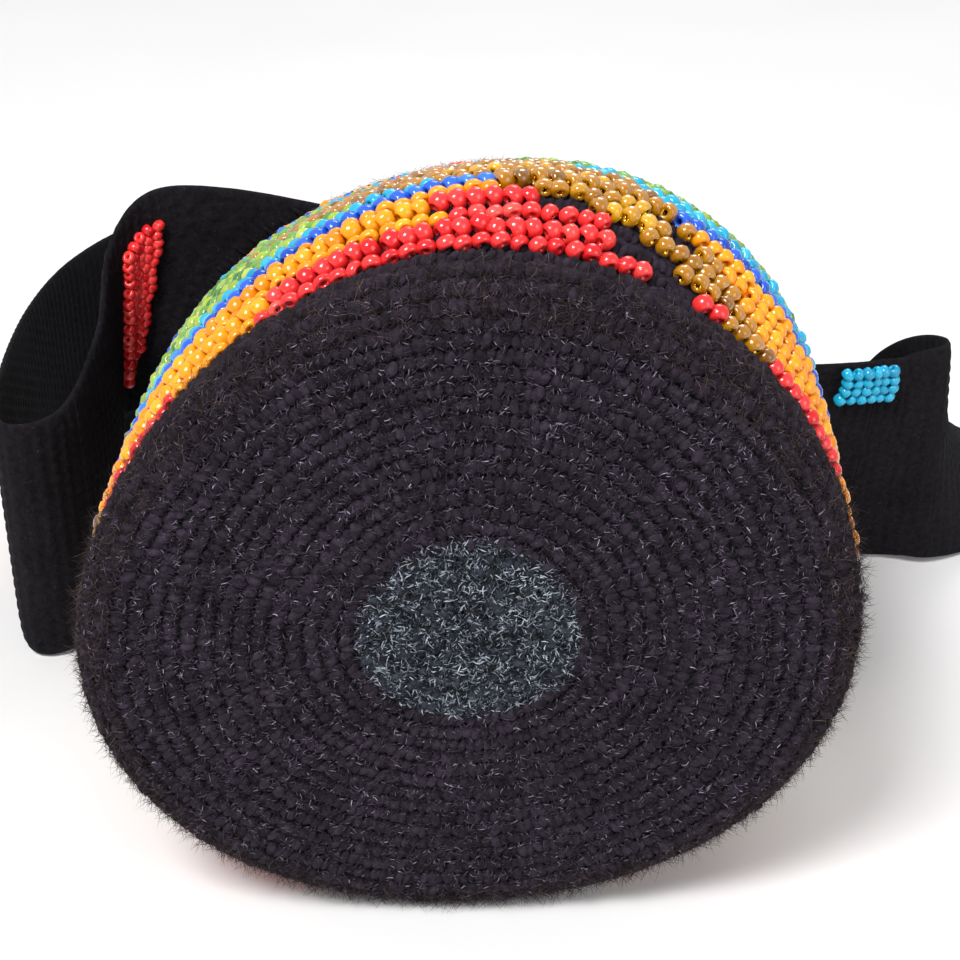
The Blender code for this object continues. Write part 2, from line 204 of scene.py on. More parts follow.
def make_piece(name, verts, faces, materials, body, slot, faces_2=None):
    """One object from arrays of points and quads. faces_2 get the second material."""
    mesh = bpy.data.meshes.new(name)
    quads = faces if faces_2 is None else np.concatenate([faces, faces_2])
    quads = np.ascontiguousarray(quads, dtype=np.int32)
    verts[:, 2] = np.maximum(verts[:, 2], LOWEST)
    mesh.vertices.add(len(verts))
    mesh.vertices.foreach_set("co", np.ascontiguousarray(verts, dtype=np.float32).ravel())
    mesh.loops.add(quads.size)
    mesh.loops.foreach_set("vertex_index", quads.ravel())
    mesh.polygons.add(len(quads))
    mesh.polygons.foreach_set("loop_start", np.arange(0, quads.size, 4, dtype=np.int32))
    index = np.zeros(len(quads), dtype=np.int32)
    index[len(faces):] = 1
    for material in materials:
        mesh.materials.append(material)
    mesh.polygons.foreach_set("material_index", index)
    mesh.polygons.foreach_set("use_smooth", np.ones(len(quads), dtype=bool))
    mesh.update(calc_edges=True)
    mesh.validate()
    piece = bpy.data.objects.new(name, mesh)
    bpy.context.scene.collection.objects.link(piece)
    if body:
        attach(piece, body)
    return piece


def copies(template, places, axes, sizes):
    """A template of points and quads, copied to each place with its axes and sizes."""
    points, quads = template
    scaled = points[None, :, :] * sizes[:, None, :]
    verts = np.einsum("kvi,kij->kvj", scaled, axes) + places[:, None, :]
    steps = np.arange(len(places))[:, None, None] * len(points)
    return verts.reshape(-1, 3), (quads[None] + steps).reshape(-1, 4)


def join(*shapes):
    """Several shapes of points and quads as one."""
    verts, faces, count = [], [], 0
    for points, quads in shapes:
        verts.append(points)
        faces.append(quads + count)
        count += len(points)
    return np.concatenate(verts), np.concatenate(faces)


def grid_quads(rows, columns, wrap_rows=False, wrap_columns=False):
    """Quads of a grid of rows x columns points, wound so that row x column is outward."""
    i = np.arange(rows if wrap_rows else rows - 1)
    j = np.arange(columns if wrap_columns else columns - 1)
    i, j = (part.ravel() for part in np.meshgrid(i, j, indexing="ij"))
    i2, j2 = (i + 1) % rows, (j + 1) % columns
    return np.stack([i * columns + j, i2 * columns + j, i2 * columns + j2, i * columns + j2], 1)


def bead_template(around=12):
    """A glass bead of radius 1 about its hole, the Z axis, and the quads of its hole."""
    profile = ((0.30, 0.60), (0.62, 0.74), (0.90, 0.50), (1.0, 0.0), (0.90, -0.50),
               (0.62, -0.74), (0.30, -0.60), (0.26, 0.0))
    turn = np.arange(around) * tau / around
    points = [(r * cos(t), r * sin(t), z) for t in turn for r, z in profile]
    quads = grid_quads(around, len(profile), True, True)
    hole = quads[:, 0] % len(profile) >= len(profile) - 2
    return np.array(points), quads[~hole], quads[hole]


def ball_template(cuts):
    """A ball of radius 1 made only of quads, from a cube with cuts faces to a side."""
    line = np.tan(np.linspace(-pi / 4, pi / 4, cuts + 1))
    a, b = (part.ravel() for part in np.meshgrid(line, line, indexing="ij"))
    one = np.ones_like(a)
    sides = ((one, a, b), (-one, b, a), (b, one, a), (a, -one, b), (a, b, one), (b, a, -one))
    points = np.concatenate([np.stack(side, 1) for side in sides])
    points /= np.linalg.norm(points, axis=1, keepdims=True)
    quads = np.concatenate([grid_quads(cuts + 1, cuts + 1) + k * len(a) for k in range(6)])
    keys = np.round(points, 5) + 0.0
    _, first, back = np.unique(keys, axis=0, return_index=True, return_inverse=True)
    return points[first], back.ravel()[quads]


def hair_shape(starts, directions, bends, lengths, width):
    """Thin curved fibres, each a three-sided tapering tube."""
    count = len(starts)
    steps = np.array((0.0, 0.55, 1.0))
    taper = np.array((0.8, 1.0, 0.15))
    side = np.cross(directions, bends)
    side /= np.linalg.norm(side, axis=1, keepdims=True) + 1e-12
    lift = np.cross(side, directions)
    rings = []
    for step, thin in zip(steps, taper):
        centre = starts + directions * (lengths * step)[:, None]
        centre = centre + bends * (lengths * 0.45 * step ** 2)[:, None]
        ring = [centre + width * thin * (cos(t) * side + sin(t) * lift)
                for t in (0, tau / 3, 2 * tau / 3)]
        rings.append(np.stack(ring, 1))
    verts = np.stack(rings, 1).reshape(-1, 3)
    quads = grid_quads(len(steps), 3, False, True)
    steps_all = np.arange(count)[:, None, None] * (3 * len(steps))
    return verts, (quads[None] + steps_all).reshape(-1, 4)


BALL = ball_template(3)
SMALL_BALL = ball_template(2)
BEAD_POINTS, BEAD_OUTSIDE, BEAD_HOLE = bead_template()


# --------------------------------------------------------------- materials

def level(value):
    """A plain grey, used as a factor."""
    return value, value, value


def node_material(name):
    """A new material, its node tree and its shader."""
    material = bpy.data.materials.new(name)
    material.use_nodes = True
    tree = material.node_tree
    return material, tree, tree.nodes["Principled BSDF"]


def add_node(tree, kind, **values):
    """A new node with its settings and input values."""
    node = tree.nodes.new(kind)
    for key, value in values.items():
        if hasattr(node, key):
            setattr(node, key, value)
        else:
            node.inputs[key.replace("_", " ")].default_value = value
    return node


def ramp(tree, source, stops):
    """Colour by a value: the first two stops are the ends, the others lie between them."""
    node = tree.nodes.new("ShaderNodeValToRGB")
    node.color_ramp.elements[0].position = stops[0][0]
    node.color_ramp.elements[0].color = (*stops[0][1], 1)
    node.color_ramp.elements[1].position = stops[1][0]
    node.color_ramp.elements[1].color = (*stops[1][1], 1)
    for place, colour in stops[2:]:
        node.color_ramp.elements.new(place).color = (*colour, 1)
    tree.links.new(source, node.inputs["Fac"])
    return node.outputs["Color"]


def mixed(tree, share, first, second, mode="MIX"):
    """Two colours mixed, where each value is a socket, a colour or a number."""
    node = tree.nodes.new("ShaderNodeMix")
    node.data_type = "RGBA"
    node.blend_type = mode
    for socket, value in ((node.inputs["Factor"], share), (node.inputs["A"], first),
                          (node.inputs["B"], second)):
        if isinstance(value, bpy.types.NodeSocket):
            tree.links.new(value, socket)
        elif isinstance(value, tuple):
            socket.default_value = (*value, 1)
        else:
            socket.default_value = value
    return node.outputs["Result"]


def wool_material(name, dark, mid, pale, flecks, sheen=0.25):
    """Felted wool: strands of a dark and a middle shade with pale fibres among them."""
    material, tree, shader = node_material(name)
    where = tree.nodes.new("ShaderNodeTexCoord").outputs["Object"]
    island = tree.nodes.new("ShaderNodeNewGeometry").outputs["Random Per Island"]
    cloud = add_node(tree, "ShaderNodeTexNoise", Scale=55.0, Detail=3.0)
    fibre = add_node(tree, "ShaderNodeTexNoise", Scale=1500.0, Detail=4.0, Distortion=1.2)
    grain = add_node(tree, "ShaderNodeTexNoise", Scale=620.0, Detail=5.0, Distortion=0.6)
    for noise in (cloud, fibre, grain):
        tree.links.new(where, noise.inputs["Vector"])
    strand = ramp(tree, grain.outputs["Fac"], ((0.35, dark), (0.68, mid)))
    patches = ramp(tree, cloud.outputs["Fac"], ((0.35, level(0.75)), (0.65, level(1.25))))
    strand = mixed(tree, 1.0, strand, patches, "MULTIPLY")
    each = ramp(tree, island, ((0.0, level(0.72)), (1.0, level(1.3))))
    strand = mixed(tree, 1.0, strand, each, "MULTIPLY")
    fleck_ends = ((1 - flecks, level(0)), (min(1.06 - flecks, 1.0), level(1)))
    spots = ramp(tree, fibre.outputs["Fac"], fleck_ends)
    tree.links.new(mixed(tree, spots, strand, pale), shader.inputs["Base Color"])
    shader.inputs["Roughness"].default_value = 0.95
    shader.inputs["Sheen Weight"].default_value = sheen
    shader.inputs["Sheen Roughness"].default_value = 0.5
    shader.inputs["Sheen Tint"].default_value = (*mid, 1)
    shader.inputs["Specular IOR Level"].default_value = 0.15
    bump = add_node(tree, "ShaderNodeBump", Strength=0.9, Distance=0.0004)
    tree.links.new(grain.outputs["Fac"], bump.inputs["Height"])
    tree.links.new(bump.outputs["Normal"], shader.inputs["Normal"])
    return material


def fibre_material(name, shades, groove_shade=0.0):
    """Tufts of felted fibre, each of one shade, in paler patches, and where asked with painted shade
    that darkens the grooves between the base's rounds.
    """
    material, tree, shader = node_material(name)
    island = tree.nodes.new("ShaderNodeNewGeometry").outputs["Random Per Island"]
    where = tree.nodes.new("ShaderNodeTexCoord").outputs["Object"]
    colour = ramp(tree, island, shades)
    cloud = add_node(tree, "ShaderNodeTexNoise", Scale=230.0, Detail=2.0)
    tree.links.new(where, cloud.inputs["Vector"])
    patches = ramp(tree, cloud.outputs["Fac"], ((0.34, level(0.55)), (0.68, level(1.5))))
    colour = mixed(tree, 1.0, colour, patches, "MULTIPLY")
    # painted shade: the grooves between the base's rounds darkened and their ridges lightened
    if groove_shade:
        colour = mixed(tree, groove_shade, colour, painted_groove_shade(tree, where), "MULTIPLY")
    tree.links.new(colour, shader.inputs["Base Color"])
    shader.inputs["Roughness"].default_value = 0.8
    shader.inputs["Specular IOR Level"].default_value = 0.2
    return material


def painted_groove_shade(tree, where):
    """Painted shade: darker grooves and lighter ridges between the rounds of the base, by the
    distance from its middle.
    """
    centre = Vector((SHIFT[0], SHIFT[1], BASE_MIDDLE))
    mapping = add_node(tree, "ShaderNodeMapping", Location=-centre)
    tree.links.new(where, mapping.inputs["Vector"])
    rings = add_node(tree, "ShaderNodeTexWave", wave_type="RINGS", rings_direction="SPHERICAL",
                     Scale=tau / 20 / STITCH, Distortion=2.2, Detail=2.0)
    rings.inputs["Detail Scale"].default_value = 1.5
    tree.links.new(mapping.outputs["Vector"], rings.inputs["Vector"])
    return ramp(tree, rings.outputs["Fac"], ((0.0, level(0.5)), (0.75, level(1.35))))


def bead_material(name, deep, main, light):
    """Opaque glass: each bead a little lighter or darker, with a fine streaky glaze."""
    material, tree, shader = node_material(name)
    island = tree.nodes.new("ShaderNodeNewGeometry").outputs["Random Per Island"]
    where = tree.nodes.new("ShaderNodeTexCoord").outputs["Object"]
    shades = ramp(tree, island, ((0.0, deep), (1.0, light), (0.3, main), (0.8, main)))
    streak = add_node(tree, "ShaderNodeTexNoise", Scale=900.0, Detail=2.0)
    tree.links.new(where, streak.inputs["Vector"])
    cloudy = ramp(tree, streak.outputs["Fac"], ((0.3, level(0.86)), (0.7, level(1.06))))
    tree.links.new(mixed(tree, 1.0, shades, cloudy, "MULTIPLY"), shader.inputs["Base Color"])
    rough = ramp(tree, streak.outputs["Fac"], ((0.3, level(0.10)), (0.7, level(0.26))))
    tree.links.new(rough, shader.inputs["Roughness"])
    shader.inputs["Coat Weight"].default_value = 0.2
    shader.inputs["Coat Roughness"].default_value = 0.06
    shader.inputs["Subsurface Weight"].default_value = 0.12
    shader.inputs["Subsurface Radius"].default_value = (0.001, 0.0006, 0.0004)
    return material


def amber_material():
    """Amber glass of the gold beads, which lets a little light through."""
    shades = (0.20, 0.070, 0.001), (0.46, 0.19, 0.001), (0.76, 0.40, 0.006)
    material = bead_material("gold_glass", *shades)
    shader = material.node_tree.nodes["Principled BSDF"]
    shader.inputs["Transmission Weight"].default_value = 0.15
    shader.inputs["Subsurface Weight"].default_value = 0.0
    shader.inputs["IOR"].default_value = 1.5
    shader.inputs["Coat Weight"].default_value = 0.35
    return material


def lining_material():
    """Bright metal lining in the holes of the gold beads."""
    material, tree, shader = node_material("gold_lining")
    where = tree.nodes.new("ShaderNodeTexCoord").outputs["Object"]
    noise = add_node(tree, "ShaderNodeTexNoise", Scale=1200.0, Detail=2.0)
    tree.links.new(where, noise.inputs["Vector"])
    shades = ramp(tree, noise.outputs["Fac"], ((0.3, (0.62, 0.30, 0.01)), (0.7, (0.98, 0.66, 0.10))))
    tree.links.new(shades, shader.inputs["Base Color"])
    shader.inputs["Metallic"].default_value = 1.0
    shader.inputs["Roughness"].default_value = 0.18
    return material


WOOL = wool_material("dark_wool", (0.010, 0.007, 0.011), (0.026, 0.019, 0.029),
                     (0.12, 0.10, 0.14), 0.32)
GREY = wool_material("grey_wool", (0.008, 0.009, 0.013), (0.034, 0.038, 0.050),
                     (0.20, 0.22, 0.26), 0.36)
BLACK = wool_material("black_wool", (0.0030, 0.0024, 0.0032), (0.0085, 0.0072, 0.0095),
                      (0.045, 0.040, 0.050), 0.34, sheen=0.12)
# the dark fibres carry painted shade in the grooves between the base's rounds, at a share of 0.9
FUZZ = fibre_material("dark_fibres", (
    (0.0, (0.007, 0.005, 0.008)), (1.0, (0.22, 0.195, 0.245)), (0.45, (0.017, 0.012, 0.020)),
    (0.78, (0.040, 0.030, 0.045)), (0.93, (0.085, 0.070, 0.095))), 0.9)
GREY_FUZZ = fibre_material("grey_fibres", (
    (0.0, (0.005, 0.006, 0.009)), (1.0, (0.42, 0.46, 0.50)), (0.48, (0.012, 0.014, 0.020)),
    (0.66, (0.060, 0.070, 0.088)), (0.86, (0.23, 0.26, 0.30))))
BROWN_FUZZ = fibre_material("faded_fibres", (
    (0.0, (0.012, 0.008, 0.008)), (1.0, (0.16, 0.11, 0.095)), (0.6, (0.034, 0.022, 0.021)),
    (0.9, (0.07, 0.048, 0.042))))
LINING = lining_material()
# The darkest, usual and lightest shade of each colour of bead
GLASS = {name: bead_material(name + "_glass", *shades) for name, *shades in (
    ("red", (0.62, 0.010, 0.014), (0.86, 0.034, 0.034), (0.93, 0.085, 0.070)),
    ("orange", (0.78, 0.23, 0.002), (0.93, 0.32, 0.004), (0.97, 0.42, 0.015)),
    ("blue", (0.008, 0.055, 0.42), (0.020, 0.11, 0.64), (0.045, 0.22, 0.76)),
    ("turquoise", (0.004, 0.26, 0.46), (0.010, 0.38, 0.60), (0.05, 0.50, 0.68)),
    ("lime", (0.20, 0.32, 0.015), (0.34, 0.47, 0.045), (0.46, 0.58, 0.10)),
    ("green", (0.05, 0.18, 0.02), (0.15, 0.34, 0.06), (0.30, 0.46, 0.11)))}
GLASS["gold"] = amber_material()


# ------------------------------------------------------------- the crochet

def stitch_shape(surface, angle, run, size, template, inset, slant=20.0):
    """Crochet stitches: two fat strands side by side at each angle and run."""
    shapes = []
    around, along, outward = surface_frame(surface, angle, run)
    count = len(angle)
    size = size + np.zeros(count)
    for side in (-1, 1):
        lean = np.radians(slant + random.normal(0, 9, count)) * side
        dip = np.radians(random.normal(10, 7, count))
        length = along * np.cos(lean)[:, None] + around * np.sin(lean)[:, None]
        length = length * np.cos(dip)[:, None] + outward * np.sin(dip)[:, None]
        across = around * np.cos(lean)[:, None] - along * np.sin(lean)[:, None]
        rise = np.cross(across, length)
        places = surface(angle, run) - outward * (inset + random.normal(0, 0.00012, (count, 1)))
        places = places + around * (side * 0.25 * STITCH * size)[:, None]
        places = places + random.normal(0, 0.00018, (count, 3))
        sizes = np.stack([0.33 * STITCH * size * (1 + random.normal(0, 0.09, count)),
                          0.50 * STITCH * (1 + random.normal(0, 0.07, count)),
                          0.24 * STITCH * (1 + random.normal(0, 0.10, count))], 1)
        axes = np.stack([across, length, rise], 1)
        shapes.append(copies(template, places, axes, sizes))
    return join(*shapes)


def spiral():
    """Angles and runs of the base's stitches, worked in one spiral from the middle."""
    angles, runs = [], []
    turn = 0.9
    while True:
        run = STITCH * (turn / tau + 0.15)
        if run > BASE_RUN - 0.3 * STITCH:
            break
        angles.append(turn)
        runs.append(run)
        turn += STITCH / max(run, STITCH * 0.6)
    return np.array(angles), np.array(runs)


def skin_shape(surface, runs, inset, around=240):
    """A plain layer under the stitches, so that nothing shows through between them."""
    angle = np.arange(around) * tau / around
    grid_angle, grid_run = np.meshgrid(angle, runs, indexing="ij")
    points = surface(grid_angle, grid_run, inset)
    return points.reshape(-1, 3), grid_quads(around, len(runs), True, False)


def make_base():
    """The base's stitches: a grey middle and dark rounds about it."""
    angle, run = spiral()
    size = np.minimum(1.0, 0.55 + run / 0.03)
    grey = run < GREY_R
    for name, chosen, material, slot, node, low, high in (
            ("base_grey_stitches", grey, GREY, "wool_grey", "base_centre", 0.0002, GREY_R),
            ("base_dark_stitches", ~grey, WOOL, "wool", "base_rounds", GREY_R, BASE_RUN + 0.001)):
        stitches = stitch_shape(base_surface, angle[chosen], run[chosen], size[chosen],
                                BALL, 0.0004)
        skin = skin_shape(base_surface, np.linspace(low, high, 30), 0.0012)
        piece = make_piece(name, *join(stitches, skin), [material], "bag", slot)
        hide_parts(node)


def fuzz_shape(surface, count, low, high, length, width, lift, power=0.5):
    """Fibres scattered between two runs of a surface, lying mostly along it.

    They are spread evenly over a disc when power is a half, and over a tube when it is one.
    """
    angle = random.uniform(0, tau, count)
    share = random.uniform(0, 1, count)
    run = (low ** (1 / power) + (high ** (1 / power) - low ** (1 / power)) * share) ** power
    around, along, outward = surface_frame(surface, angle, run)
    turn = random.uniform(0, tau, count)[:, None]
    rise = np.abs(random.normal(0, lift, count))[:, None]
    flat = around * np.cos(turn) + along * np.sin(turn)
    heading = flat + outward * rise
    heading /= np.linalg.norm(heading, axis=1, keepdims=True)
    bend = np.cross(outward, flat) * random.normal(0, 0.8, count)[:, None]
    bend = bend + outward * random.normal(-0.15, 0.3, count)[:, None]
    starts = surface(angle, run) + outward * random.uniform(-0.0001, 0.0005, (count, 1))
    lengths = length * random.uniform(0.5, 1.5, count)
    return hair_shape(starts, heading, bend, lengths, width)


def make_fuzz():
    """Felted tufts over the base, longer and faded round its edge, and on the collar."""
    grey = fuzz_shape(base_surface, 11000, 0.0002, GREY_R + 0.0012, 0.0016, 0.00018, 0.25)
    make_piece("base_grey_fibres", *grey, [GREY_FUZZ], "bag", "wool_grey")
    for name in ("base_dark_fibres", "base_dark_fibres_2"):
        low, high = GREY_R - 0.001, BASE_RUN - 0.003
        dark = fuzz_shape(base_surface, 30000, low, high, 0.0013, 0.00014, 0.22)
        make_piece(name, *dark, [FUZZ], "bag", "wool")
    fine = fuzz_shape(base_surface, 14000, 0.002, BASE_RUN - 0.003, 0.0022, 0.00003, 0.4)
    make_piece("base_fine_fibres", *fine, [FUZZ], "bag", "wool")
    edge = fuzz_shape(base_surface, 15000, BASE_RUN - 0.013, BASE_RUN + 0.002, 0.0034, 0.00005, 0.8)
    make_piece("base_edge_fibres", *edge, [BROWN_FUZZ], "bag", "wool")
    first = FILLET + BEAD_ROWS * STITCH + STITCH
    collar = fuzz_shape(bag_surface, 5000, first, FILLET + ROWS * STITCH, 0.003, 0.00004, 0.4, 1.0)
    make_piece("collar_fibres", *collar, [FUZZ], "bag", "wool")


def wall_stitches(rows, inset):
    """Rounds of stitches on the wall, each round half a stitch on from the last."""
    column = np.arange(COLUMNS)
    grid_row, grid_column = (part.ravel() for part in np.meshgrid(rows, column, indexing="ij"))
    angle = (grid_column + 0.5 + 0.5 * (grid_row % 2)) * tau / COLUMNS
    depth = FILLET + (grid_row + 0.5) * STITCH
    return stitch_shape(bag_surface, angle, depth, 1.0, SMALL_BALL, inset)


def inner_skin(first, last, inset):
    """The inside of the wall: knobbly rounds of crochet seen through the mouth."""
    around = COLUMNS * 4
    depths = np.linspace(first, last, int((last - first) / STITCH * 4))
    angle = np.arange(around) * tau / around
    grid_angle, grid_depth = np.meshgrid(angle, depths, indexing="ij")
    ridge = np.abs(np.sin(pi * grid_depth / STITCH))
    knot = np.abs(np.sin(grid_angle * COLUMNS / 2 + pi / 2 * np.floor(grid_depth / STITCH)))
    points = bag_surface(grid_angle, grid_depth, inset + 0.0009 * ridge * (0.45 + 0.55 * knot))
    return points.reshape(-1, 3), grid_quads(around, len(depths), True, False)[:, ::-1]


def make_wall():
    """The wool behind the beads, the bare collar and the rim."""
    bead_end = FILLET + (BEAD_ROWS + 1) * STITCH
    depth = FILLET + ROWS * STITCH
    outer = skin_shape(bag_surface, np.arange(FILLET, bead_end + 0.001, STITCH), 0.0030)
    inner = inner_skin(FILLET, bead_end, 0.0046)
    first_row = wall_stitches(np.array([0]), 0.0008)
    hidden = wall_stitches(np.arange(1, BEAD_ROWS + 1), 0.0026)
    wall = make_piece("wall_wool", *join(outer, inner, first_row, hidden), [WOOL], "bag", "wool")
    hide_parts("wall_lower", "wall_upper")
    outer = skin_shape(bag_surface, np.arange(bead_end, depth, STITCH), 0.0018)
    inner = inner_skin(bead_end, depth - 0.001, 0.0030)
    stitches = wall_stitches(np.arange(BEAD_ROWS + 1, ROWS - 1), 0.0008)
    collar = make_piece("collar_stitches", *join(outer, inner, stitches), [WOOL], "bag", "wool")
    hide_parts("mouth_collar")
    count = int(COLUMNS * 1.25)
    angle = np.arange(count) * tau / count
    around, along, outward = surface_frame(bag_surface, angle, np.full(count, depth - 0.002))
    axes = np.stack([along, around * 0.8 + outward * 0.6, outward * 0.8 - around * 0.6], 1)
    places = bag_surface(angle, np.full(count, depth - 0.0018), 0.0019)
    sizes = np.stack([np.full(count, 0.0017), np.full(count, 0.0030), np.full(count, 0.0017)], 1)
    rim = make_piece("rim_stitches", *copies(BALL, places, axes, sizes), [BLACK], "bag", "strap_wool")
    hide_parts("mouth_rim")


# --------------------------------------------------------------- the beads

def bead_colour(row, degrees):
    """Colour of the bead at a row and angle, or None where the wool is left bare."""
    reach = GOLD_TURN - abs(row + 0.5 - GOLD_TURN)
    off = (degrees - GOLD_START + GOLD_STEP * reach + SECTOR / 2) % SECTOR - SECTOR / 2
    near = row if row <= BEAD_ROWS / 2 else BEAD_ROWS + 1 - row
    beside = off + min(GOLD_LEFT + GOLD_WIDEN * reach, GOLD_WIDEST)
    if beside > 0 and off < GOLD_RIGHT:
        return None if near in (4, 5) and 0 < off < 5 else "gold"
    if near == 1 and -5 < beside <= 0:
        return "red"
    if -BARE_GAP[min(near, 6)] < beside <= 0:
        return None
    edging = off < 0 or off > 44 + 5 * near or near == 1 and off < 30
    if near <= 2 and edging or near <= 4 and -36 + 3 * near < beside <= 0:
        return "red"
    if near <= 5:
        return "orange"
    if near == 6:
        return "blue"
    if near <= 8 or 0 < off < GOLD_RIGHT + 6.5 and near <= 10:
        return "turquoise"
    if near <= 9:
        return "lime"
    if near <= 10:
        return "green"
    return field_colour(row, off)


def field_colour(row, off):
    """A stepped diamond of blue and turquoise between two gold diagonals, on green."""
    columns = abs(abs(off) - SECTOR / 2) / 2.5
    rank = columns / 1.5 + abs(row - 15.5)
    if rank < 2.4:
        return "turquoise"
    if rank < 3.6:
        return "blue"
    return "lime" if (row + int(columns)) % 3 == 0 else "green"


def bead_shape(places, around, along, outward, tilt, radius):
    """Beads at places, each with its hole tilted by an angle between two directions."""
    count = len(places)
    tilt = tilt + random.normal(0, 0.16, count)
    lean = random.normal(0, 0.12, count)
    hole = around * np.cos(tilt)[:, None] + along * np.sin(tilt)[:, None]
    hole = hole * np.cos(lean)[:, None] + outward * np.sin(lean)[:, None]
    side = np.cross(outward, hole)
    side /= np.linalg.norm(side, axis=1, keepdims=True)
    axes = np.stack([side, np.cross(hole, side), hole], 1)
    sizes = radius * (1 + random.normal(0, 0.04, (count, 3)))
    verts, outside = copies((BEAD_POINTS, BEAD_OUTSIDE), places, axes, sizes)
    steps = np.arange(count)[:, None, None] * len(BEAD_POINTS)
    return verts, outside, (BEAD_HOLE[None] + steps).reshape(-1, 4)


def bead_piece(name, colour, shape):
    """One object of beads: gold ones have a metal lining in their holes."""
    lining = LINING if colour == "gold" else GLASS[colour]
    verts, outside, hole = shape
    body = "strap" if name.endswith("_span_beads") else "bag"
    return make_piece(name, verts, outside, [GLASS[colour], lining], body, "bead_" + colour, hole)


def make_beads():
    """Every bead of the wall, one stitch each, collected by colour."""
    chosen = {colour: [] for colour in GLASS}
    for row in range(1, BEAD_ROWS + 1):
        for column in range(COLUMNS):
            degrees = (column + 0.5 + 0.5 * (row % 2)) * 360 / COLUMNS
            colour = bead_colour(row, degrees)
            if colour:
                chosen[colour].append((row, radians(degrees)))
    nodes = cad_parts
    homes = {"turquoise": "field_lower", "lime": "field_upper", "gold": "gold_diagonal"}
    for colour, spots in chosen.items():
        row, angle = np.array(spots).T
        count = len(row)
        drift = 0.00028 * np.sin(angle * 7 + row * 1.9)
        depth = FILLET + (row + 0.5) * STITCH + drift + random.normal(0, 0.00022, count)
        angle = angle + random.normal(0, 0.0024, count)
        around, along, outward = surface_frame(bag_surface, angle, depth)
        inset = 0.0011 + random.normal(0, 0.0002, count)
        places = bag_surface(angle, depth) - outward * inset[:, None]
        tilt = np.where(row % 2 == 0, 0.95, -0.95)
        shape = bead_shape(places, around, along, outward, tilt, BEAD_RADIUS)
        piece = bead_piece("wall_beads_" + colour, colour, shape)
        home = homes.get(colour, colour + "_band")
        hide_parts(*[node for node in nodes if node.startswith(home)])


# --------------------------------------------------------------- the strap

def route_length(first, last, steps=400):
    """Route positions and the lengths of strap up to them."""
    position = np.linspace(first, last, steps)
    points = route_value(position)[:, :3]
    run = np.concatenate([[0], np.cumsum(np.linalg.norm(np.diff(points, axis=0), axis=1))])
    return position, run


def strap_shape(first, last, cut_first=None, cut_last=None):
    """A stretch of strap: rows of crochet knots on both faces and rounded edges.

    An end that is sewn to the bag has a function of its cut.
    """
    position, run = route_length(0.0, STRAP_END)
    low, high = np.interp((first, last), position, run)
    samples = max(8, int((high - low) / STITCH * 4))
    line = np.interp(np.linspace(low, high, samples), run, position)
    distance = np.interp(line, position, run)
    ring = KNOTS_ACROSS * 8
    turn = np.arange(ring) / ring
    face = np.where(turn < 0.5, 1.0, -1.0)
    across = np.where(turn < 0.5, 4 * turn - 1, 3 - 4 * turn)
    grid_line, grid_across = np.meshgrid(line, across, indexing="ij")
    grid_distance = distance[:, None] + 0 * grid_across
    share = (grid_line - first) / (last - first)
    if cut_first:
        grid_line = grid_line + (cut_first(grid_across) - first) * (1 - share) ** 3
    if cut_last:
        grid_line = grid_line + (cut_last(grid_across) - last) * share ** 3
    edge = np.sqrt(np.clip(1 - np.abs(grid_across) ** 10, 0.02, 1))
    ridge = np.abs(np.sin(pi * grid_distance / STITCH))
    shift = np.floor(grid_distance / STITCH) * 0.5
    knot = np.abs(np.sin(pi * (grid_across * KNOTS_ACROSS / 2 + shift)))
    height = STRAP_THICK / 2 * edge * (0.62 + 0.38 * ridge * (0.5 + 0.5 * knot))
    points = strap_surface(grid_line, grid_across * 0.995, face[None, :] * height)[0]
    points[..., 2] = np.maximum(points[..., 2], STRAP_LOWEST)
    verts = points.reshape(-1, 3)
    quads = grid_quads(samples, ring, False, True)[:, ::-1]
    caps = []
    half = ring // 2
    for row, flip in ((0, 1), (samples - 1, -1)):
        start = row * ring
        for k in range(half - 1):
            quad = [start + k, start + k + 1, start + ring - 2 - k, start + ring - 1 - k]
            caps.append(quad[::flip])
    return verts, np.concatenate([quads, np.array(caps)])


def cut_left(across):
    """Where the strap's left end meets the curve of the bag."""
    return np.interp(across, np.linspace(-1, 1, 5), LEFT_CUT) - LEFT_TUCK


def cut_right(across):
    """Where the strap's right end meets the curve of the bag."""
    return np.interp(across, np.linspace(-1, 1, 5), RIGHT_CUT) + RIGHT_TUCK


def make_strap():
    """The strap in five stretches: two on the bag, the span, and a twist at each elbow."""
    spots = (
        ("strap_leg_left", 1.0, LEFT_TWIST[0], "bag", (cut_left, None)),
        ("strap_twist_left", *LEFT_TWIST, None, ()),
        ("strap_span", LEFT_TWIST[1], RIGHT_TWIST[0], "strap", ()),
        ("strap_twist_right", *RIGHT_TWIST, None, ()),
        ("strap_leg_right", RIGHT_TWIST[1], 22.5, "bag", (None, cut_right)),
    )
    for name, first, last, body, cuts in spots:
        shape = strap_shape(first, last, *cuts)
        piece = make_piece(name + "_knit", *shape, [BLACK], body, "strap_wool")
        if body:
            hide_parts(name)
            continue
        on_bag, on_span = (first, last) if "left" in name else (last, first)
        start, end = (tuple(strap_surface(np.array([p]), 0.0)[0][0]) for p in (on_bag, on_span))
        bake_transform(piece)


